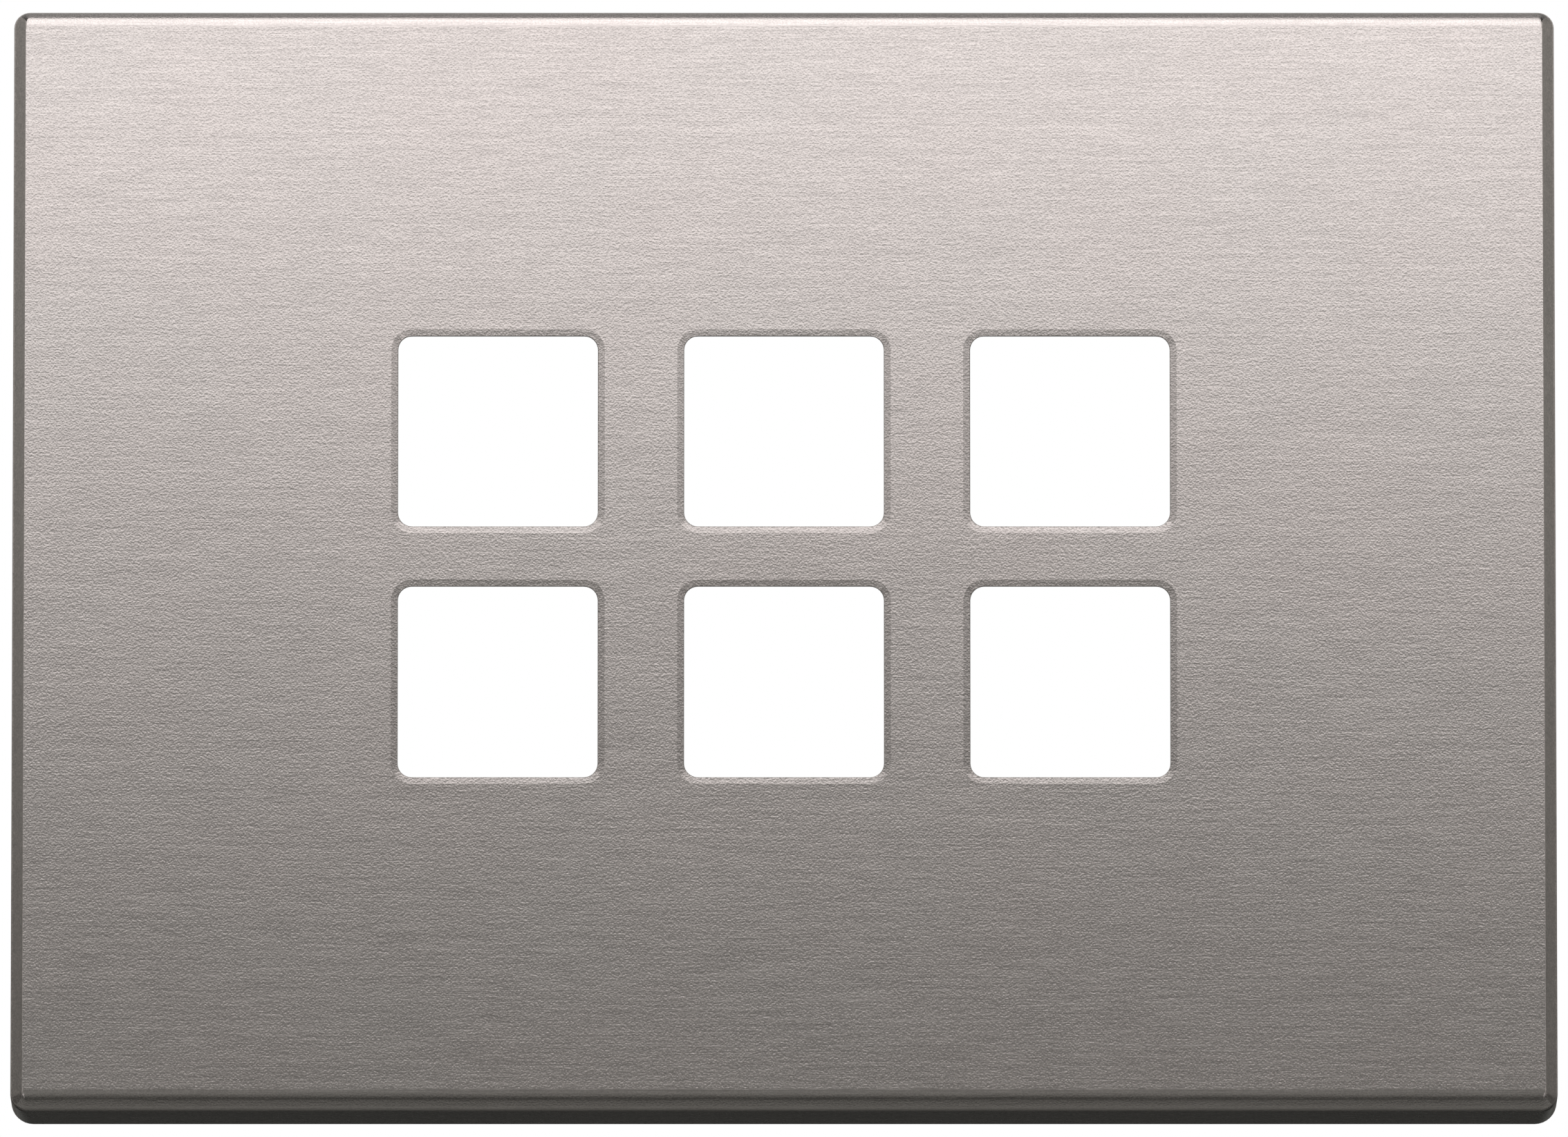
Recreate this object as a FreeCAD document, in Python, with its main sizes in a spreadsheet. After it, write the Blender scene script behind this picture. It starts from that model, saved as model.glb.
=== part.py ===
# Grid switch plate: a metal fascia with bevelled windows over a moulded carrier with snap hooks.
# Millimetres. X runs along the width, Z up, and the front faces -Y. The wall is the plane Y = 0,
# and the origin is the centre of the plate on that plane.
import FreeCAD, Part
import Sketcher
import math
import os

doc = FreeCAD.newDocument("grid_switch_plate")

# Driving dimensions: name, value, meaning
driving_sizes = [
    ("plate_width", 121.4, "left edge to right edge"),
    ("plate_height", 88.4, "bottom edge to top edge"),
    ("plate_depth", 6.8, "wall to face"),
    ("edge_bevel_width", 0.94, "edge bevel, seen from the front"),
    ("edge_bevel_depth", 1.3, "edge bevel, measured towards the wall"),
    ("edge_rounding", 1.1, "soft rounding between the face and its top and bottom bevels"),
    ("shoulder_rounding", 1.8, "soft rounding between the top and bottom bevels and the skirt"),
    ("shoulder_corner_radius", 1.25, "upright corner where the bevel meets the skirt"),
    ("wall_corner_radius", 1.75, "upright corner at the wall"),
    ("skirt_thickness", 1.8, "skirt at the wall"),
    ("face_thickness", 1.4, "face of the fascia"),
    ("cavity_corner_radius", 1.0, "inner corners of the skirt"),
    ("window_columns", 3, "windows side by side"),
    ("window_rows", 2, "windows one above the other"),
    ("column_pitch", 22.5, "centre to centre along the width"),
    ("row_pitch", 20.15, "centre to centre along the height"),
    ("window_width", 15.7, "clear width of a window"),
    ("window_height", 15.3, "clear height of a window"),
    ("window_corner_radius", 1.1, "clear corner of a window"),
    ("window_bevel_width", 0.55, "bevel around a window, seen from the front"),
    ("window_bevel_depth", 0.1, "bevel around a window, measured towards the wall"),
    ("window_relief", 0.35, "widening of a window behind its bevel"),
    ("groove_setback", 1.2, "wall to the snap groove in the skirt"),
    ("groove_height", 1.2, "snap groove, measured towards the face"),
    ("groove_depth", 0.5, "snap groove, cut into the skirt"),
    ("carrier_clearance", 0.2, "carrier to skirt"),
    ("web_thickness", 1.2, "carrier's web behind the face"),
    ("rim_thickness", 1.4, "carrier's outer wall"),
    ("rim_setback", 0.4, "wall to the carrier's rear edge"),
    ("window_clearance", 0.4, "carrier's openings beyond the fascia's windows"),
    ("collar_thickness", 1.2, "carrier's raised surround outside the windows"),
    ("collar_height", 1.0, "raised surround above the web"),
    ("rib_thickness", 1.0, "stiffening ribs"),
    ("rib_height", 0.8, "stiffening ribs above the web"),
    ("rib_row_pitch", 30.0, "cross ribs, centre to centre along the height"),
    ("nib_length", 8.0, "snap nibs along the rim"),
    ("nib_clearance", 0.15, "snap nib to groove"),
    ("nib_columns", 3, "snap nibs along the top, and again along the bottom"),
    ("nib_column_pitch", 40.0, "those nibs, centre to centre"),
    ("nib_row_pitch", 44.0, "the two snap nibs of a side, centre to centre"),
    ("hook_span", 94.0, "outer face to outer face of the snap hooks"),
    ("hook_row_pitch", 40.0, "snap hooks, centre to centre along the height"),
    ("hook_width", 8.0, "snap hook along the height"),
    ("hook_thickness", 1.3, "post of a snap hook"),
    ("barb_reach", 0.8, "barb beyond its post"),
    ("barb_lead", 1.1, "slope that leads the barb on"),
    ("barb_lip", 0.5, "straight lip under the slope"),
    ("core_margin", 0.3, "opening in the web around a barb's outline"),
]

sizes = doc.addObject("Spreadsheet::Sheet", "Sizes")
for row, (alias, value, meaning) in enumerate(driving_sizes, start=1):
    sizes.set(f"A{row}", meaning)
    sizes.set(f"B{row}", str(value))
    sizes.setAlias(f"B{row}", alias)
doc.recompute()


def sized(formula):
    """Point every name of the sheet in a formula at its cell."""
    for alias, _, _ in driving_sizes:
        formula = formula.replace(f"[{alias}]", f"Sizes.{alias}")
    return formula


def value_of(formula):
    """The present value of a formula, in millimetres or degrees."""
    found = sizes.evalExpression(sized(formula))
    return float(getattr(found, "Value", found))


def origin_feature(body, role):
    return next(feature for feature in body.Origin.OriginFeatures if feature.Role == role)


def new_body(name):
    body = doc.addObject("PartDesign::Body", name)
    body.Label = name
    return body


def new_sketch(body, name, role, offsets):
    """A sketch on an origin plane, shifted in the plane's own x, y and z."""
    sketch = body.newObject("Sketcher::SketchObject", name)
    sketch.AttachmentSupport = (origin_feature(body, role), [""])
    sketch.MapMode = "FlatFace"
    for axis, formula in offsets.items():
        sketch.setExpression(f"AttachmentOffset.Base.{axis}", sized(formula))
    return sketch


def constrain(sketch, name, formula, kind, *places):
    """A dimension that follows a formula."""
    value = value_of(formula)
    if kind == "Angle":
        value = math.radians(value)
    index = sketch.addConstraint(Sketcher.Constraint(kind, *places, value))
    sketch.renameConstraint(index, name)
    sketch.setExpression(f"Constraints.{name}", sized(formula))


def rounded_rectangle(sketch, name, width, height, radius):
    """A rectangle with round corners, centred on the sketch's origin."""
    half_x = value_of(width) / 2
    half_y = value_of(height) / 2
    r = value_of(radius)
    first = sketch.GeometryCount
    for quarter, (side_x, side_y) in enumerate([(1, -1), (1, 1), (-1, 1), (-1, -1)]):
        centre = FreeCAD.Vector(side_x * (half_x - r), side_y * (half_y - r), 0)
        start = (quarter - 1) * math.pi / 2
        before = FreeCAD.Vector(r * math.cos(start), r * math.sin(start), 0)
        along = FreeCAD.Vector(-before.y, before.x, 0).normalize()
        run = 2 * (half_x - r if quarter % 2 == 0 else half_y - r)
        corner = centre + before
        sketch.addGeometry(Part.LineSegment(corner - along * run, corner))
        circle = Part.Circle(centre, FreeCAD.Vector(0, 0, 1), r)
        sketch.addGeometry(Part.ArcOfCircle(circle, start, start + math.pi / 2))
    lines = range(first, first + 8, 2)
    for line in lines:
        arc = line + 1
        following = first + (line - first + 2) % 8
        sketch.addConstraint(Sketcher.Constraint("Tangent", line, 2, arc, 1))
        sketch.addConstraint(Sketcher.Constraint("Tangent", arc, 2, following, 1))
    bottom, right, top, left = lines
    for line in (bottom, top):
        sketch.addConstraint(Sketcher.Constraint("Horizontal", line))
    for line in (right, left):
        sketch.addConstraint(Sketcher.Constraint("Vertical", line))
    for line in (right, top, left):
        sketch.addConstraint(Sketcher.Constraint("Equal", bottom + 1, line + 1))
    sketch.addConstraint(Sketcher.Constraint("Symmetric", bottom + 1, 3, top + 1, 3, -1, 1))
    constrain(sketch, f"{name}_radius", radius, "Radius", bottom + 1)
    constrain(sketch, f"{name}_width", width, "DistanceX", left, 1, right, 1)
    constrain(sketch, f"{name}_height", height, "DistanceY", bottom, 1, top, 1)


def polygon(sketch, corners):
    """A closed outline through corners given as formulas, each held by its distances from the origin."""
    points = [FreeCAD.Vector(value_of(x), value_of(y), 0) for x, y in corners]
    count = len(points)
    for number in range(count):
        sketch.addGeometry(Part.LineSegment(points[number], points[(number + 1) % count]))
    for number in range(count):
        sketch.addConstraint(Sketcher.Constraint("Coincident", number, 2, (number + 1) % count, 1))
        across, up = corners[number]
        constrain(sketch, f"corner_{number}_across", across, "DistanceX", -1, 1, number, 1)
        constrain(sketch, f"corner_{number}_up", up, "DistanceY", -1, 1, number, 1)


def rectangle(sketch, width, height):
    """A rectangle centred on the sketch's origin."""
    signs = [("-", "-"), ("", "-"), ("", ""), ("-", "")]
    polygon(sketch, [(f"{x}({width}) / 2", f"{y}({height}) / 2") for x, y in signs])


def feature(body, kind, name, sketch, length=None, **settings):
    """A pad, pocket or loft on a sketch. A length is a formula."""
    made = body.newObject(f"PartDesign::{kind}", name)
    made.Profile = (sketch, [""])
    for setting, choice in settings.items():
        setattr(made, setting, choice)
    if length:
        made.setExpression("Length", sized(length))
    return made


def loft(body, kind, name, outlines, across="0", up="0"):
    """A loft with flat sides through round-cornered outlines: depth from the wall, width, height, radius."""
    sketches = []
    for label, depth, width, height, radius in outlines:
        sketch = new_sketch(body, f"{name}_{label}", "XZ_Plane", {"x": across, "y": up, "z": depth})
        rounded_rectangle(sketch, "outline", width, height, radius)
        sketches.append(sketch)
    made = feature(body, kind, name, sketches[0], Ruled=True)
    made.Sections = [(sketch, [""]) for sketch in sketches[1:]]
    return made


def row_step(role, count, pitch):
    """Copies along an origin axis."""
    return "LinearPattern", {"Direction": role}, {"Occurrences": count, "Offset": pitch}, {"Mode": "Spacing"}


def mirror_step(role):
    """One copy on the other side of an origin plane."""
    return "Mirrored", {"MirrorPlane": role}, {}, {}


def repeat(body, name, originals, steps):
    """Features copied by one step after another."""
    whole = body.newObject("PartDesign::MultiTransform", name)
    whole.Originals = originals
    made = []
    for number, (kind, supports, formulas, settings) in enumerate(steps):
        step = body.newObject(f"PartDesign::{kind}", f"{name}_{number}")
        for setting, role in supports.items():
            setattr(step, setting, (origin_feature(body, role), [""]))
        for setting, choice in settings.items():
            setattr(step, setting, choice)
        for setting, formula in formulas.items():
            step.setExpression(setting, sized(formula))
        made.append(step)
    whole.Transformations = made
    body.Tip = whole


def round_long_edge(body, name, corner_y, corner_z, first_turn, second_turn, radius):
    """Round an edge that runs along X, at the top and again at the bottom.

    The cut is what lies outside an arc that touches both flat sides of the edge. The turns are the
    directions in which the sides face, as angles from -Y towards +Z.
    """
    half = f"({second_turn} - {first_turn}) / 2"
    middle = f"({second_turn} + {first_turn}) / 2"
    centre_y = f"{corner_y} + {radius} / cos({half}) * cos({middle})"
    centre_z = f"{corner_z} - {radius} / cos({half}) * sin({middle})"
    r = value_of(radius)
    centre = FreeCAD.Vector(value_of(centre_y), value_of(centre_z), 0)
    turns = [math.radians(value_of(turn)) for turn in (first_turn, second_turn)]
    outward = [FreeCAD.Vector(-math.cos(turn), math.sin(turn), 0) for turn in turns]
    touch = [centre + way * r for way in outward]
    clear = [centre + way * 2 * r for way in outward]
    sketch = new_sketch(body, f"{name}_profile", "YZ_Plane", {})
    circle = Part.Circle(centre, FreeCAD.Vector(0, 0, 1), r)
    arc = sketch.addGeometry(Part.ArcOfCircle(circle, math.pi - turns[1], math.pi - turns[0]))
    first_side = sketch.addGeometry(Part.LineSegment(touch[0], clear[0]))
    across = sketch.addGeometry(Part.LineSegment(clear[0], clear[1]))
    second_side = sketch.addGeometry(Part.LineSegment(clear[1], touch[1]))
    for one, two in ((arc, first_side), (first_side, across), (across, second_side), (second_side, arc)):
        sketch.addConstraint(Sketcher.Constraint("Coincident", one, 2, two, 1))
    sketch.addConstraint(Sketcher.Constraint("PointOnObject", arc, 3, first_side))
    sketch.addConstraint(Sketcher.Constraint("PointOnObject", arc, 3, second_side))
    sketch.addConstraint(Sketcher.Constraint("Equal", first_side, second_side))
    constrain(sketch, "rounding", radius, "Radius", arc)
    constrain(sketch, "clear_run", radius, "Distance", first_side)
    constrain(sketch, "centre_y", centre_y, "DistanceX", -1, 1, arc, 3)
    constrain(sketch, "centre_z", centre_z, "DistanceY", -1, 1, arc, 3)
    constrain(sketch, "first_turn", f"180 deg - {first_turn}", "Angle", first_side)
    constrain(sketch, "second_turn", f"0 deg - {second_turn}", "Angle", second_side)
    cut = feature(body, "Pocket", name, sketch, Type="ThroughAll", Midplane=True)
    repeat(body, f"{name}_both", [cut], [mirror_step("XY_Plane")])


# Places that both pieces share, as formulas
first_column = "-([window_columns] - 1) / 2 * [column_pitch]"
first_row = "-([window_rows] - 1) / 2 * [row_pitch]"
window_steps = [
    row_step("X_Axis", "[window_columns]", "[column_pitch]"),
    row_step("Z_Axis", "[window_rows]", "[row_pitch]"),
]
face_back = "([plate_depth] - [face_thickness])"
cavity_width = "([plate_width] - 2 * [skirt_thickness])"
cavity_height = "([plate_height] - 2 * [skirt_thickness])"


def beyond_window(margin):
    """Width, height and corner radius of an outline that stands outside a window's clear opening."""
    return (
        f"([window_width] + 2 * ({margin}))",
        f"([window_height] + 2 * ({margin}))",
        f"([window_corner_radius] + ({margin}))",
    )


# Fascia: a bevelled block with soft long edges, hollowed from the wall side, with windows through its face
front_plate = new_body("front_plate")
shoulder_depth = "([plate_depth] - [edge_bevel_depth])"
face_width = "[plate_width] - 2 * [edge_bevel_width]"
face_height = "([plate_height] - 2 * [edge_bevel_width])"
face_corner_radius = "[shoulder_corner_radius] - [edge_bevel_width]"
loft(front_plate, "AdditiveLoft", "outer_form", [
    ("wall", "0", "[plate_width]", "[plate_height]", "[wall_corner_radius]"),
    ("shoulder", shoulder_depth, "[plate_width]", "[plate_height]", "[shoulder_corner_radius]"),
    ("face", "[plate_depth]", face_width, face_height, face_corner_radius),
])
bevel_turn = "atan([edge_bevel_depth] / [edge_bevel_width])"
round_long_edge(
    front_plate, "face_edge", "-[plate_depth]", f"{face_height} / 2", "0 deg", bevel_turn, "[edge_rounding]"
)
round_long_edge(
    front_plate, "shoulder_edge", f"-{shoulder_depth}", "[plate_height] / 2", bevel_turn, "90 deg",
    "[shoulder_rounding]"
)
sketch = new_sketch(front_plate, "cavity_outline", "XZ_Plane", {})
rounded_rectangle(sketch, "outline", cavity_width, cavity_height, "[cavity_corner_radius]")
feature(front_plate, "Pocket", "cavity", sketch, face_back, Reversed=True)
sketch = new_sketch(front_plate, "groove_outline", "XZ_Plane", {"z": "[groove_setback]"})
rounded_rectangle(
    sketch, "outline", f"{cavity_width} + 2 * [groove_depth]", f"{cavity_height} + 2 * [groove_depth]",
    "[cavity_corner_radius] + [groove_depth]"
)
feature(front_plate, "Pocket", "groove", sketch, "[groove_height]", Reversed=True)
window = loft(front_plate, "SubtractiveLoft", "window", [
    ("front", "[plate_depth]", *beyond_window("[window_bevel_width]")),
    ("throat", "[plate_depth] - [window_bevel_depth]", *beyond_window("0")),
    ("rear", face_back, *beyond_window("[window_relief]")),
], first_column, first_row)
repeat(front_plate, "windows", [window], window_steps)

# Carrier: a web against the face's back, a rim inside the skirt, and what stands on the web
clip_frame = new_body("clip_frame")
web_back = f"({face_back} - [web_thickness])"
web_middle = f"({face_back} - [web_thickness] / 2)"
carrier_width = f"({cavity_width} - 2 * [carrier_clearance])"
carrier_height = f"({cavity_height} - 2 * [carrier_clearance])"
sketch = new_sketch(clip_frame, "web_outline", "XZ_Plane", {"z": web_back})
carrier_corner_radius = "([cavity_corner_radius] - [carrier_clearance])"
rounded_rectangle(sketch, "outline", carrier_width, carrier_height, carrier_corner_radius)
feature(clip_frame, "Pad", "web", sketch, "[web_thickness]")
sketch = new_sketch(clip_frame, "rim_outline", "XZ_Plane", {"z": "[rim_setback]"})
rounded_rectangle(sketch, "outer", carrier_width, carrier_height, carrier_corner_radius)
rim_inner_width = f"({carrier_width} - 2 * [rim_thickness])"
rim_inner_height = f"({carrier_height} - 2 * [rim_thickness])"
rounded_rectangle(sketch, "inner", rim_inner_width, rim_inner_height, carrier_corner_radius)
feature(clip_frame, "Pad", "rim", sketch, f"{web_middle} - [rim_setback]")

# Raised surround of all the windows, and ribs from rim to rim
opening_margin = "([window_relief] + [window_clearance])"
collar_margin = f"({opening_margin} + [collar_thickness])"
collar_width, collar_height, collar_radius = beyond_window(collar_margin)
sketch = new_sketch(clip_frame, "collar_outline", "XZ_Plane", {"z": web_middle})
rounded_rectangle(
    sketch, "outline", f"{collar_width} + ([window_columns] - 1) * [column_pitch]",
    f"{collar_height} + ([window_rows] - 1) * [row_pitch]", collar_radius
)
feature(clip_frame, "Pad", "collar", sketch, "[collar_height] + [web_thickness] / 2", Reversed=True)
rib_rise = "[rib_height] + [web_thickness] / 2"
sketch = new_sketch(
    clip_frame, "upright_rib_outline", "XZ_Plane", {"x": "-[window_columns] / 2 * [column_pitch]", "z": web_middle}
)
rectangle(sketch, "[rib_thickness]", f"{rim_inner_height} + [rim_thickness]")
rib = feature(clip_frame, "Pad", "upright_rib", sketch, rib_rise, Reversed=True)
repeat(clip_frame, "upright_ribs", [rib], [row_step("X_Axis", "[window_columns] + 1", "[column_pitch]")])
sketch = new_sketch(
    clip_frame, "cross_rib_outline", "XZ_Plane", {"y": "-[window_rows] / 2 * [rib_row_pitch]", "z": web_middle}
)
rectangle(sketch, f"{rim_inner_width} + [rim_thickness]", "[rib_thickness]")
rib = feature(clip_frame, "Pad", "cross_rib", sketch, rib_rise, Reversed=True)
repeat(clip_frame, "cross_ribs", [rib], [row_step("Z_Axis", "[window_rows] + 1", "[rib_row_pitch]")])
sketch = new_sketch(clip_frame, "opening_outline", "XZ_Plane", {"x": first_column, "y": first_row, "z": face_back})
rounded_rectangle(sketch, "outline", *beyond_window(opening_margin))
opening = feature(clip_frame, "Pocket", "opening", sketch, Type="ThroughAll")
repeat(clip_frame, "openings", [opening], window_steps)

# Snap hooks that hold the plate on its mounting grid, each with a core opening in the web under its barb
hook_outer = "-[hook_span] / 2"
hook_inner = "(-[hook_span] / 2 + [hook_thickness])"
barb_end = f"({hook_inner} + [barb_reach])"
slope_end = "([rim_setback] + [barb_lead])"
hook_row = "[hook_row_pitch] / 2"
sketch = new_sketch(clip_frame, "hook_profile", "XY_Plane", {"z": hook_row})
polygon(sketch, [
    (hook_outer, f"-{web_middle}"),
    (hook_inner, f"-{web_middle}"),
    (hook_inner, f"-({slope_end} + [barb_lip])"),
    (barb_end, f"-({slope_end} + [barb_lip])"),
    (barb_end, f"-{slope_end}"),
    (hook_inner, "-[rim_setback]"),
    (hook_outer, "-[rim_setback]"),
])
hook = feature(clip_frame, "Pad", "hook", sketch, "[hook_width]", Midplane=True)
sketch = new_sketch(clip_frame, "core_outline", "XZ_Plane", {"y": hook_row, "z": face_back})
core_top = "([hook_width] / 2 + [core_margin])"
polygon(sketch, [
    (hook_inner, f"-{core_top}"),
    (f"{barb_end} + [core_margin]", f"-{core_top}"),
    (f"{barb_end} + [core_margin]", core_top),
    (hook_inner, core_top),
])
core = feature(clip_frame, "Pocket", "core", sketch, "[web_thickness]")
four_sides = [mirror_step("YZ_Plane"), mirror_step("XY_Plane")]
repeat(clip_frame, "hooks", [hook, core], four_sides)

# Snap nibs that hold the carrier in the skirt's groove, sloped on the side that goes in first
nib_reach = "([carrier_clearance] + [groove_depth] - [nib_clearance])"
nib_back = "-([groove_setback] + [nib_clearance])"
nib_front = "-([groove_setback] + [groove_height] - [nib_clearance])"
rim_top = f"{carrier_height} / 2"
rim_side = f"{carrier_width} / 2"
sketch = new_sketch(clip_frame, "top_nib_profile", "YZ_Plane", {"z": "-([nib_columns] - 1) / 2 * [nib_column_pitch]"})
polygon(sketch, [
    (nib_back, f"{rim_top} - [rim_thickness] / 2"),
    (nib_back, f"{rim_top} + {nib_reach}"),
    (nib_front, rim_top),
    (nib_front, f"{rim_top} - [rim_thickness] / 2"),
])
nib = feature(clip_frame, "Pad", "top_nib", sketch, "[nib_length]", Midplane=True)
top_steps = [row_step("X_Axis", "[nib_columns]", "[nib_column_pitch]"), mirror_step("XY_Plane")]
repeat(clip_frame, "top_nibs", [nib], top_steps)
sketch = new_sketch(clip_frame, "side_nib_profile", "XY_Plane", {"z": "[nib_row_pitch] / 2"})
polygon(sketch, [
    (f"{rim_side} - [rim_thickness] / 2", nib_back),
    (f"{rim_side} + {nib_reach}", nib_back),
    (rim_side, nib_front),
    (f"{rim_side} - [rim_thickness] / 2", nib_front),
])
nib = feature(clip_frame, "Pad", "side_nib", sketch, "[nib_length]", Midplane=True)
repeat(clip_frame, "side_nibs", [nib], four_sides)

# Nothing is written unless every object is sound, every cut takes material away and every pad adds some
doc.recompute()
for item in doc.Objects:
    if "Invalid" in item.State or "Error" in item.State:
        raise RuntimeError(f"{item.Name} failed: {item.State}")
    base = getattr(item, "BaseFeature", None)
    if base is None or not item.isDerivedFrom("PartDesign::FeatureAddSub"):
        continue
    gain = item.Shape.Volume - base.Shape.Volume
    if (gain >= 0) == (item.TypeId in ("PartDesign::Pocket", "PartDesign::SubtractiveLoft")):
        raise RuntimeError(f"{item.Name} has no effect")
os.makedirs("parts", exist_ok=True)
for sub_part in (front_plate, clip_frame):
    if sub_part.Shape.isNull() or not sub_part.Shape.isValid():
        raise RuntimeError(f"{sub_part.Label} is not a sound solid")
    sub_part.Shape.exportStep(f"parts/{sub_part.Label}.step")
    print(sub_part.Label, round(sub_part.Shape.Volume, 2), len(sub_part.Shape.Solids))
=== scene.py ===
import math

import bmesh
import bpy
from mathutils import Matrix, Vector


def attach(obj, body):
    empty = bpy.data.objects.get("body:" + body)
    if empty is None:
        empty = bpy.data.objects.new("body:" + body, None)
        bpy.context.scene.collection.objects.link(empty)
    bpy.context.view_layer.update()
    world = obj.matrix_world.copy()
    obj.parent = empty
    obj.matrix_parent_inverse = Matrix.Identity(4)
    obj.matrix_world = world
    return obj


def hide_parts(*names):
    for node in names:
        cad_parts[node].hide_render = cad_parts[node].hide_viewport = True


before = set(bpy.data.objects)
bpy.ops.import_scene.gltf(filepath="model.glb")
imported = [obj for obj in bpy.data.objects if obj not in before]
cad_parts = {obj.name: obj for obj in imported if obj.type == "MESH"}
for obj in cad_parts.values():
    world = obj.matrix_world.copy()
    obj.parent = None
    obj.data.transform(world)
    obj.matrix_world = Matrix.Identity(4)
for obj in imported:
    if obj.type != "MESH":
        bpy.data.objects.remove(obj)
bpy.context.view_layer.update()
scene = bpy.context.scene
scene.view_settings.view_transform = "Standard"
mm = 0.001
print("frame loaded:", ", ".join(sorted(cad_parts)))


# sRGB hex to the linear colour that the shaders use
def linear(hexText):
    channels = [int(hexText[i:i + 2], 16) / 255 for i in (1, 3, 5)]
    return [c / 12.92 if c <= 0.04045 else ((c + 0.055) / 1.055) ** 2.4 for c in channels] + [1.0]


# one node with its settings (sockets or properties) and its incoming links
def addNode(tree, kind, settings={}, links={}):
    made = tree.nodes.new(kind)
    for name, value in settings.items():
        if isinstance(name, int) or name in made.inputs:
            made.inputs[name].default_value = value
        else:
            setattr(made, name, value)
    for name, source in links.items():
        tree.links.new(source, made.inputs[name])
    return made


def newFinish(name):
    finish = bpy.data.materials.new(name)
    finish.use_nodes = True
    return finish, finish.node_tree, finish.node_tree.nodes["Principled BSDF"]


# lattice sizes in mm along X, Y and Z, as a Mapping node's scale on coordinates in metres
def perMetre(*sizes):
    return [1000 / size for size in sizes]


# even noise with a lattice size in mm
def evenNoise(tree, place, size, detail):
    return addNode(tree, "ShaderNodeTexNoise", {"Scale": 1000 / size, "Detail": detail},
                   {"Vector": place}).outputs[0]


# a noise value, which lies mostly between 0.3 and 0.7, spread over a range
def spreadOver(tree, noise, ends):
    return addNode(tree, "ShaderNodeMapRange", {
        "From Min": 0.3, "From Max": 0.7, "To Min": ends[0], "To Max": ends[1],
    }, {"Value": noise}).outputs[0]


# Anodised aluminium, brushed along the width. The eye gets fine broken hairlines along X, a sandy grain
# between them, a few longer streaks, and a sheen that stretches up and down across the lines.
brushed = {
    "name": "brushedAnodisedAluminium",
    "tone": "#CBC4C1", "warmTone": "#CEC4C1",
    "blotchSize": 14.0,
    "hairSize": (4.0, 0.06, 0.06),      # mm along X, Y and Z; real lines are half as wide, drawn to show
    "streakSize": (40.0, 0.13, 0.13),
    "grainSize": (0.13, 0.13, 0.13),
    "hairShade": (0.86, 1.14), "streakShade": (0.96, 1.04), "grainShade": (0.91, 1.09),
    "roughness": (0.245, 0.275),
    "anisotropic": 0.7,
    "bump": 0.9, "bumpDepth": 0.02,
    "hairHeight": 0.2,       # of the grain's height
}

# The same metal where a cutter made the side bevels and the window walls: duller, with an even fine grain
# and no brush lines
milled = dict(
    brushed,
    name="milledAnodisedAluminium",
    tone="#C1BAB5", warmTone="#C3BAB5",
    hairSize=(0.16, 0.16, 0.16), streakSize=(0.5, 0.5, 0.5),
    hairShade=(0.90, 1.10), streakShade=(0.94, 1.06), grainShade=(0.90, 1.10),
    roughness=(0.46, 0.56),
    anisotropic=0.0,
    bump=0.08,
)

# At the sides of the windows the bevel is the brushed metal with painted shade: the same grain and sheen,
# its tone darkened to stand in for the shade that falls there
sideShadedBrushed = dict(brushed, name="crossBrushedAluminium", tone="#B0AAA7", warmTone="#B3AAA7")


def aluminium(look):
    finish, tree, shader = newFinish(look["name"])
    place = addNode(tree, "ShaderNodeTexCoord").outputs["Object"]
    noise, shades = {}, []
    for pattern, detail in (("hair", 2.0), ("streak", 2.0), ("grain", 0.0)):
        # each pattern is moved along, so that they don't line up
        stretched = addNode(tree, "ShaderNodeMapping", {
            "Location": (3.1 * len(noise), 7.7, 1.3), "Scale": perMetre(*look[pattern + "Size"]),
        }, {"Vector": place})
        noise[pattern] = addNode(tree, "ShaderNodeTexNoise", {
            "Scale": 1.0, "Detail": detail, "Roughness": 0.6,
        }, {"Vector": stretched.outputs[0]}).outputs[0]
        shades.append(spreadOver(tree, noise[pattern], look[pattern + "Shade"]))
    shade = shades[0]
    for other in shades[1:]:
        shade = addNode(tree, "ShaderNodeMath", {"operation": "MULTIPLY"}, {0: shade, 1: other}).outputs[0]
    tone = addNode(tree, "ShaderNodeMix", {
        "data_type": "RGBA", 6: linear(look["tone"]), 7: linear(look["warmTone"]),
    }, {0: evenNoise(tree, place, look["blotchSize"], 2.0)})
    shaded = addNode(tree, "ShaderNodeVectorMath", {"operation": "SCALE"},
                     {"Vector": tone.outputs[2], "Scale": shade})
    height = addNode(tree, "ShaderNodeMath", {"operation": "MULTIPLY_ADD", 1: look["hairHeight"]},
                     {0: noise["hair"], 2: noise["grain"]})
    bump = addNode(tree, "ShaderNodeBump", {"Strength": look["bump"], "Distance": look["bumpDepth"] * mm},
                   {"Height": height.outputs[0]})
    upright = addNode(tree, "ShaderNodeCombineXYZ", {"Z": 1.0})  # the sheen stretches across the lines
    shader.inputs["Metallic"].default_value = 1.0
    shader.inputs["Anisotropic"].default_value = look["anisotropic"]
    tree.links.new(shaded.outputs[0], shader.inputs["Base Color"])
    tree.links.new(spreadOver(tree, noise["hair"], look["roughness"]), shader.inputs["Roughness"])
    tree.links.new(bump.outputs[0], shader.inputs["Normal"])
    tree.links.new(upright.outputs[0], shader.inputs["Tangent"])
    return finish


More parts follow.
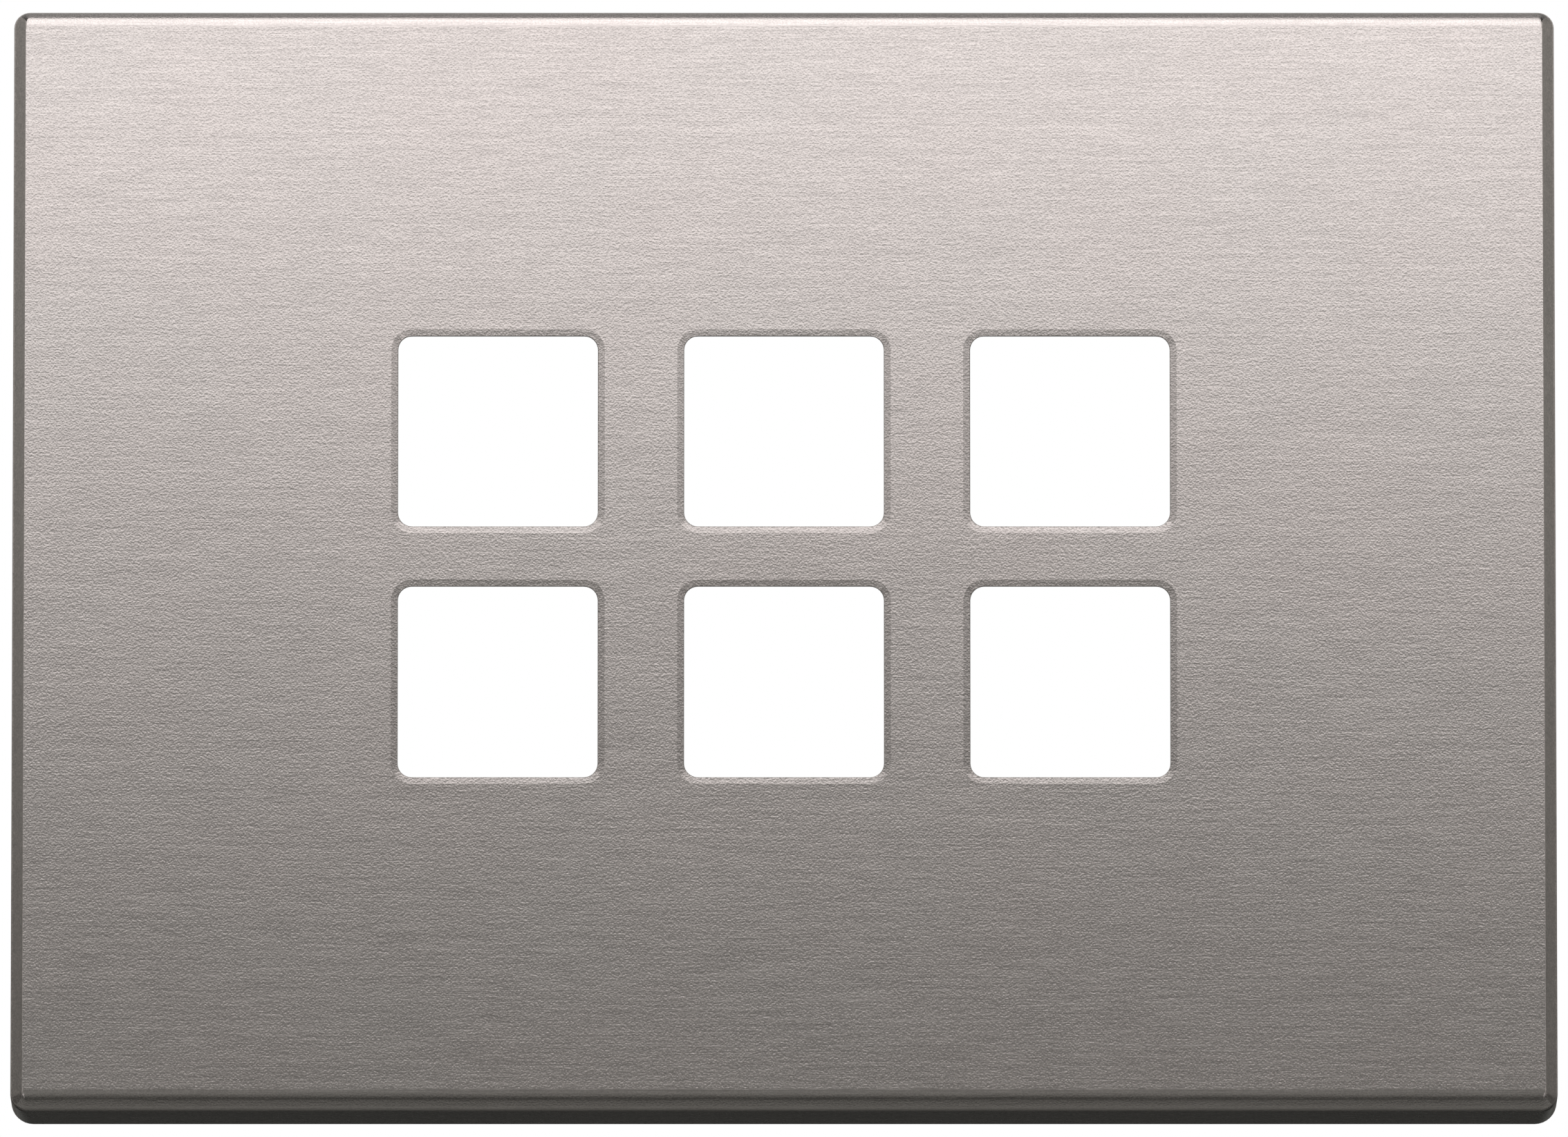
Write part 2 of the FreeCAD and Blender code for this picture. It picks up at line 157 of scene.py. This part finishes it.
# Moulded ABS with a spark-eroded matt texture: a dull charcoal with a fine pebbled grain
moulded = {
    "tone": "#2A2B2D",
    "paleTone": "#303133",
    "grainSize": 0.35,       # real texture is about 0.1 mm, drawn coarser so that it shows
    "flowSize": 25.0,
    "roughness": (0.48, 0.62),
    "bump": 0.25, "bumpDepth": 0.03,
    "edgeRadius": 0.15,      # the light turns softly round the edges of a moulding
}


def mouldedPlastic(look):
    finish, tree, shader = newFinish("mattMouldedAbs")
    place = addNode(tree, "ShaderNodeTexCoord").outputs["Object"]
    grain = evenNoise(tree, place, look["grainSize"], 2.0)
    tone = addNode(tree, "ShaderNodeMix", {
        "data_type": "RGBA", 6: linear(look["tone"]), 7: linear(look["paleTone"]),
    }, {0: evenNoise(tree, place, look["flowSize"], 3.0)})
    edges = addNode(tree, "ShaderNodeBevel", {"samples": 6, "Radius": look["edgeRadius"] * mm})
    bump = addNode(tree, "ShaderNodeBump", {"Strength": look["bump"], "Distance": look["bumpDepth"] * mm},
                   {"Height": grain, "Normal": edges.outputs[0]})
    tree.links.new(tone.outputs[2], shader.inputs["Base Color"])
    tree.links.new(spreadOver(tree, grain, look["roughness"]), shader.inputs["Roughness"])
    tree.links.new(bump.outputs[0], shader.inputs["Normal"])
    return finish


# faces through a row of round-cornered outlines: width, height, corner radius, depth from the wall.
# They are bridged far apart and then brought to their depths, because near ones bridge with a twist.
def skin(mesh, outlines, centre=(0, 0), apart=20 * mm, steps=8):
    rings = []
    for k, (width, height, radius, depth) in enumerate(outlines):
        place = (Matrix.Translation((centre[0] * mm, -k * apart, centre[1] * mm))
                 @ Matrix.Rotation(math.radians(90), 4, "X")
                 @ Matrix.Diagonal((width * mm, height * mm, 1, 1)))
        corners = bmesh.ops.create_grid(mesh, x_segments=1, y_segments=1, size=0.5, matrix=place)["verts"]
        rounded = bmesh.ops.bevel(mesh, geom=corners, offset=radius * mm, affect="VERTICES",
                                  segments=steps, profile=0.5, material=-1)
        face = rounded["verts"][0].link_faces[0]
        rings.append((list(face.edges), list(face.verts), k * apart - depth * mm))
        bmesh.ops.delete(mesh, geom=[face], context="FACES_ONLY")
    for one, two in zip(rings, rings[1:]):
        bmesh.ops.bridge_loops(mesh, edges=one[0] + two[0])
    for edges, verts, shift in rings:
        bmesh.ops.translate(mesh, verts=verts, vec=(0, shift, 0))
    return rings[0][0], rings[-1][0]


def newPiece(name, mesh, finishes, node):
    data = bpy.data.meshes.new(name)
    mesh.to_mesh(data)
    mesh.free()
    for finish in finishes:
        data.materials.append(finish)
    piece = bpy.data.objects.new(name, data)
    scene.collection.objects.link(piece)
    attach(piece, "root")
    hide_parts(node)
    return piece


# Fascia, in mm: a bevelled tray with soft long edges and windows through its face
fascia = {
    "width": 121.4, "height": 88.4, "depth": 6.8,
    "bevelWidth": 0.94, "bevelDepth": 1.3,
    "faceRounding": 1.1, "shoulderRounding": 1.8,      # along the top and bottom
    "sideFaceRounding": 0.03, "sideShoulderRounding": 0.4,
    "sideHollow": 0.05,      # the left and right bevels are a little hollow
    "faceRadius": 0.31, "shoulderRadius": 1.25, "wallRadius": 1.75,
    "wallBreak": 0.12,
    "skirt": 1.8, "faceThickness": 1.4, "cavityRadius": 1.0,
    "grooveSetback": 1.2, "grooveHeight": 1.2, "grooveDepth": 0.5,
    "columns": (-22.5, 0.0, 22.5), "rows": (-10.075, 10.075),
    "windowWidth": 15.7, "windowHeight": 15.3, "windowRadius": 1.1,
    "windowBevelWidth": 0.55, "windowBevelDepth": 0.044, "windowRelief": 0.35,
    "throatBreak": 0.05,
    "windowArea": 30.0,      # the windows all lie nearer than this to the middle height
    "flatMargin": 0.15,      # a ring of flat face that keeps the shading of the roundings off the face
    "roundingSteps": 8,
    "sharpAngle": 32.0,
    "flatTilt": 3.6,         # up to this many degrees from the front, a face belongs to the flat face
    "bevelTilt": 25.0,       # and up to this many, a face in a window belongs to its bevel
    "upperTurn": 0.9, "lowerTurn": 1.6,      # how soon a window's side bevels end in its corners
    # finish 2, for the windows' side bevels, is the brushed metal darkened with painted shade
    "finishes": {"face": 0, "windowEnd": 0, "milled": 1, "windowSide": 2},
}


# how far the skin stands in from the wall outline, at a distance behind the face
def bevelInset(behind, faceRounding, shoulderRounding, hollow, size):
    slope = math.atan2(size["bevelDepth"], size["bevelWidth"])
    lean = math.pi / 2 - slope
    reach = faceRounding * math.tan(slope / 2)
    shoulder = size["bevelDepth"] + shoulderRounding * math.tan(lean / 2)
    if behind < faceRounding * (1 - math.cos(slope)):
        turn = math.acos(1 - behind / faceRounding)
        return size["bevelWidth"] + reach - faceRounding * math.sin(turn)
    if behind >= shoulder:
        return 0.0
    if behind > shoulder - shoulderRounding * math.sin(lean):
        turn = math.asin((shoulder - behind) / shoulderRounding)
        return shoulderRounding * (1 - math.cos(turn))
    share = behind / size["bevelDepth"]
    return size["bevelWidth"] * (1 - share) + 4 * hollow * share * (1 - share)


# outlines from the face, over the roundings and down to the wall
def outerOutlines(size):
    slope = math.atan2(size["bevelDepth"], size["bevelWidth"])
    lean = math.pi / 2 - slope
    steps = size["roundingSteps"]
    stops = {0.0, size["depth"] - size["wallBreak"]}
    for rounding in (size["faceRounding"], size["sideFaceRounding"]):
        stops |= {rounding * (1 - math.cos(slope * k / steps)) for k in range(steps + 1)}
    for rounding in (size["shoulderRounding"], size["sideShoulderRounding"]):
        end = size["bevelDepth"] + rounding * math.tan(lean / 2)
        stops |= {end - rounding * math.sin(lean * k / steps) for k in range(steps + 1)}
    rows = []
    for behind in sorted(stops):
        across = bevelInset(behind, size["sideFaceRounding"], size["sideShoulderRounding"],
                            size["sideHollow"], size)
        up = bevelInset(behind, size["faceRounding"], size["shoulderRounding"], 0.0, size)
        if behind < size["bevelDepth"]:
            share = behind / size["bevelDepth"]
            radius = size["faceRadius"] + (size["shoulderRadius"] - size["faceRadius"]) * share
        else:
            share = (behind - size["bevelDepth"]) / (size["depth"] - size["bevelDepth"])
            radius = size["shoulderRadius"] + (size["wallRadius"] - size["shoulderRadius"]) * share
        rows.append((size["width"] - 2 * across, size["height"] - 2 * up, radius, size["depth"] - behind))
    width, height, radius, depth = rows[0]
    margin = 2 * size["flatMargin"]
    rows.insert(0, (width - margin, height - margin, radius, depth))
    trim = size["wallBreak"]
    rows.append((size["width"] - 2 * trim, size["height"] - 2 * trim, size["wallRadius"] - trim, 0.0))
    return rows


# outlines from the wall into the cavity, past the groove and up to the back of the face
def innerOutlines(size):
    trim, groove = size["wallBreak"], size["grooveDepth"]
    start, ceiling = size["grooveSetback"], size["depth"] - size["faceThickness"]
    end = start + size["grooveHeight"]
    rows = []
    for extra, depth in (
        (trim, 0.0), (0, trim), (0, start), (groove, start), (groove, end), (0, end), (0, ceiling),
    ):
        grown = 2 * (extra - size["skirt"])
        rows.append((size["width"] + grown, size["height"] + grown, size["cavityRadius"] + extra, depth))
    return rows


# outlines of one window, from its flat ring on the face to the back of the face
def windowOutlines(size):
    trim, bevel = size["throatBreak"], size["windowBevelWidth"]
    front, throat = size["depth"], size["depth"] - size["windowBevelDepth"]
    rise = trim * size["windowBevelDepth"] / bevel
    rows = []
    for extra, depth in (
        (bevel + size["flatMargin"], front), (bevel, front), (trim, throat + rise), (0.0, throat - trim),
        (size["windowRelief"], front - size["faceThickness"]),
    ):
        rows.append((size["windowWidth"] + 2 * extra, size["windowHeight"] + 2 * extra,
                     size["windowRadius"] + extra, depth))
    return rows


# what a face of the fascia belongs to: the brushed face, a milled cut, or a window's side or end bevel
def surfaceKind(face, size):
    middle = face.calc_center_median() / mm
    inWindows = (abs(middle.x) < size["columns"][-1] + size["windowWidth"]
                 and abs(middle.z) < size["windowArea"])
    tilt = math.degrees(face.normal.angle((0, -1, 0)))
    across, up = abs(face.normal.x), abs(face.normal.z)
    if tilt < size["flatTilt"]:
        return "face"
    if inWindows and tilt < size["bevelTilt"]:
        turn = size["upperTurn"] if face.normal.z < 0 else size["lowerTurn"]
        return "windowSide" if across > turn * up else "windowEnd"
    return "milled" if inWindows or across > up else "face"


def buildFascia(size, finishes):
    mesh = bmesh.new()
    faceEdges, ceilingEdges = skin(mesh, outerOutlines(size) + innerOutlines(size))
    for x in size["columns"]:
        for z in size["rows"]:
            front, rear = skin(mesh, windowOutlines(size), (x, z))
            faceEdges += front
            ceilingEdges += rear
    for edges in (faceEdges, ceilingEdges):
        bmesh.ops.triangle_fill(mesh, use_beauty=True, use_dissolve=False, edges=edges)
    bmesh.ops.recalc_face_normals(mesh, faces=mesh.faces)
    kinds = {}
    for face in mesh.faces:
        face.smooth = True
        kinds[face] = surfaceKind(face, size)
        face.material_index = size["finishes"][kinds[face]]
    for edge in mesh.edges:
        one, two = edge.link_faces
        alike = kinds[one] == kinds[two]
        edge.smooth = alike and edge.calc_face_angle() < math.radians(size["sharpAngle"])
    print("fascia faces", len(mesh.faces), "open edges", sum(not edge.is_manifold for edge in mesh.edges))
    return newPiece("frontPlate", mesh, finishes, "front_plate")


# Carrier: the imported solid's own form, merged into whole faces
carrier = {"mergeDistance": 0.0005, "flatAngle": 0.5, "sharpAngle": 35.0}


def buildCarrier(size, finish):
    mesh = bmesh.new()
    mesh.from_mesh(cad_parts["clip_frame"].data)
    bmesh.ops.remove_doubles(mesh, verts=mesh.verts, dist=size["mergeDistance"] * mm)
    bmesh.ops.dissolve_limit(mesh, angle_limit=math.radians(size["flatAngle"]),
                             verts=mesh.verts, edges=mesh.edges)
    for face in mesh.faces:
        face.smooth = True
    for edge in mesh.edges:
        edge.smooth = edge.calc_face_angle() < math.radians(size["sharpAngle"])
    print("carrier faces", len(mesh.faces), "open edges", sum(not edge.is_manifold for edge in mesh.edges))
    return newPiece("clipFrame", mesh, [finish], "clip_frame")


# the third finish, for the windows' side bevels, is the brushed metal darkened with painted shade
buildFascia(fascia, [aluminium(brushed), aluminium(milled), aluminium(sideShadedBrushed)])
buildCarrier(carrier, mouldedPlastic(moulded))
print("pieces built")


# Studio: white surroundings, with a graded panel in front and dim cards behind, beside and below that only
# reflections see. Stops are places in metres along a card with the brightness there.
studio = {
    "fill": 0.85,
    "dimTint": "#FBFFF7",      # where a card is dim, its light is a little olive
    "panelDistance": 0.16, "panelFade": (0.14, 0.25),
    "panelUp": [(-0.8, 0.0), (-0.2, 0.14), (-0.12, 0.23), (-0.07, 0.24), (-0.03, 0.12), (0.0, 0.18),
                (0.03, 0.33), (0.06, 1.31), (0.09, 1.53), (0.14, 1.48), (0.22, 1.69), (0.4, 1.67),
                (0.8, 2.0)],
    "backDistance": 0.22,
    "backUp": [(-1.0, 0.08), (-0.3, 0.08), (-0.2, 0.045), (-0.1, 0.01), (0.0, 0.2), (0.12, 0.6),
               (0.25, 0.48), (0.42, 0.07), (0.6, 0.0), (1.0, 0.0)],
    "sideDistance": 0.5, "sideReach": (-0.2, 0.22),
    "sideUp": [(-1.0, 0.0), (0.0, 0.0), (0.05, 0.06), (0.15, 0.42), (0.3, 0.07), (1.0, 0.0)],
    "belowDrop": 0.3, "belowWidth": 2.0,
    "belowBack": [(-0.4, 0.0), (-0.08, 0.06), (-0.02, 0.04), (0.04, 0.21), (0.09, 0.22), (0.15, 0.15),
                  (0.22, 0.11), (0.4, 0.1)],
    "lampPower": 1.5, "lampSize": 0.7, "lampPlace": (-0.25, -0.35, 1.0),
    "floorDrop": 6.5, "floorSize": 40.0, "floorTone": "#F4F4F2",
}


def card(name, width, height, matrix):
    mesh = bmesh.new()
    bmesh.ops.create_grid(mesh, x_segments=1, y_segments=1, size=0.5,
                          matrix=matrix @ Matrix.Diagonal((width, height, 1, 1)))
    data = bpy.data.meshes.new(name)
    mesh.to_mesh(data)
    mesh.free()
    made = bpy.data.objects.new(name, data)
    scene.collection.objects.link(made)
    finish = bpy.data.materials.new(name)
    finish.use_nodes = True
    finish.node_tree.nodes.clear()
    data.materials.append(finish)
    return made, finish.node_tree


# how far a card's stops go
def stopSpan(stops):
    return stops[-1][0] - stops[0][0]


# a card that glows by stops along one axis, may fade to white at both sides, and shows in reflections alone
def glowCard(name, width, height, matrix, axis, stops, fade=None):
    made, tree = card(name, width, height, matrix)
    made.visible_camera = made.visible_diffuse = made.visible_transmission = made.visible_shadow = False
    coordinates = addNode(tree, "ShaderNodeTexCoord")
    place = addNode(tree, "ShaderNodeSeparateXYZ", {}, {0: coordinates.outputs["Object"]})
    start, most = stops[0][0], max(shade for at, shade in stops)
    share = addNode(tree, "ShaderNodeMapRange", {"From Min": start, "From Max": stops[-1][0]},
                    {"Value": place.outputs[axis]})
    glow = addNode(tree, "ShaderNodeValToRGB", {}, {"Fac": share.outputs[0]})
    marks = glow.color_ramp.elements
    for at, shade in stops[1:-1]:
        marks.new((at - start) / stopSpan(stops))
    dimTint = linear(studio["dimTint"])[:3]
    for mark, (at, shade) in zip(marks, stops):
        white = min(shade, 1.0)
        mark.color = [shade / most * (white + (1 - white) * tint) for tint in dimTint] + [1]
    colour = glow.outputs[0]
    if fade:
        aside = addNode(tree, "ShaderNodeMath", {"operation": "ABSOLUTE"}, {0: place.outputs["X"]})
        plain = addNode(tree, "ShaderNodeMapRange", {"From Min": fade[0], "From Max": fade[1]},
                        {"Value": aside.outputs[0]})
        colour = addNode(tree, "ShaderNodeMix", {"data_type": "RGBA", 7: (1 / most, 1 / most, 1 / most, 1)},
                         {0: plain.outputs[0], 6: colour}).outputs[2]
    emission = addNode(tree, "ShaderNodeEmission", {"Strength": most}, {"Color": colour})
    addNode(tree, "ShaderNodeOutputMaterial", {}, {"Surface": emission.outputs[0]})


standing = Matrix.Rotation(math.radians(90), 4, "X")
panelPlace = Matrix.Translation((0, -studio["panelDistance"], 0))
glowCard("gradedPanel", 2 * studio["panelFade"][1], stopSpan(studio["panelUp"]), panelPlace @ standing,
         "Z", studio["panelUp"], studio["panelFade"])
backPlace = Matrix.Translation((0, studio["backDistance"], 0))
glowCard("backCard", 2 * studio["sideDistance"], stopSpan(studio["backUp"]), backPlace @ standing,
         "Z", studio["backUp"])
sideFront, sideBack = studio["sideReach"]
for side in (-1, 1):
    sidePlace = Matrix.Translation((side * studio["sideDistance"], (sideFront + sideBack) / 2, 0))
    glowCard("sideCard", stopSpan(studio["sideUp"]), sideBack - sideFront,
             sidePlace @ Matrix.Rotation(math.radians(90), 4, "Y"), "Z", studio["sideUp"])
glowCard("lowCard", studio["belowWidth"], stopSpan(studio["belowBack"]),
         Matrix.Translation((0, 0, -studio["belowDrop"])), "Y", studio["belowBack"])

floorTree = card("floor", studio["floorSize"], studio["floorSize"],
                 Matrix.Translation((0, 0, -studio["floorDrop"])))[1]
pale = addNode(floorTree, "ShaderNodeBsdfDiffuse", {"Color": linear(studio["floorTone"])})
addNode(floorTree, "ShaderNodeOutputMaterial", {}, {"Surface": pale.outputs[0]})

world = bpy.data.worlds.new("whiteStudio")
scene.world = world
world.use_nodes = True
tree = world.node_tree
tree.nodes.clear()
rays = addNode(tree, "ShaderNodeLightPath")
seen = addNode(tree, "ShaderNodeMath", {"operation": "ADD"},
               {0: rays.outputs["Is Camera Ray"], 1: rays.outputs["Is Glossy Ray"]})
seen = addNode(tree, "ShaderNodeMath", {"operation": "ADD", "use_clamp": True},
               {0: seen.outputs[0], 1: rays.outputs["Is Transmission Ray"]})
fill = addNode(tree, "ShaderNodeBackground", {"Color": (1, 1, 1, 1), "Strength": studio["fill"]})
white = addNode(tree, "ShaderNodeBackground", {"Color": (1, 1, 1, 1), "Strength": 1.0})
mixed = addNode(tree, "ShaderNodeMixShader", {},
                {0: seen.outputs[0], 1: fill.outputs[0], 2: white.outputs[0]})
addNode(tree, "ShaderNodeOutputWorld", {}, {"Surface": mixed.outputs[0]})

lamp = bpy.data.objects.new("softbox", bpy.data.lights.new("softbox", "AREA"))
lamp.data.energy = studio["lampPower"]
lamp.data.size = studio["lampSize"]
lamp.location = studio["lampPlace"]
lamp.rotation_mode = "QUATERNION"
lamp.rotation_quaternion = (-lamp.location).to_track_quat("-Z", "Y")
lamp.visible_camera = False
scene.collection.objects.link(lamp)
print("studio lit")


# Camera: a long lens from a little below, as the bottom side shows
view = {
    "lens": 1000.0, "sensor": 36.0, "frameWidth": 0.12328,
    "below": 12.0, "aim": (0, -0.0068, -0.00098),      # degrees, and metres
    "nearest": 0.1, "farthest": 20.0,
}
camera = bpy.data.objects.new("camera", bpy.data.cameras.new("camera"))
camera.data.lens, camera.data.sensor_width = view["lens"], view["sensor"]
camera.data.clip_start, camera.data.clip_end = view["nearest"], view["farthest"]
below = math.radians(view["below"])
toCamera = Vector((0, -math.cos(below), -math.sin(below)))
camera.location = Vector(view["aim"]) + toCamera * (view["frameWidth"] * view["lens"] / view["sensor"])
camera.rotation_mode = "QUATERNION"
camera.rotation_quaternion = (-toCamera).to_track_quat("-Z", "Y")
scene.collection.objects.link(camera)
scene.camera = camera
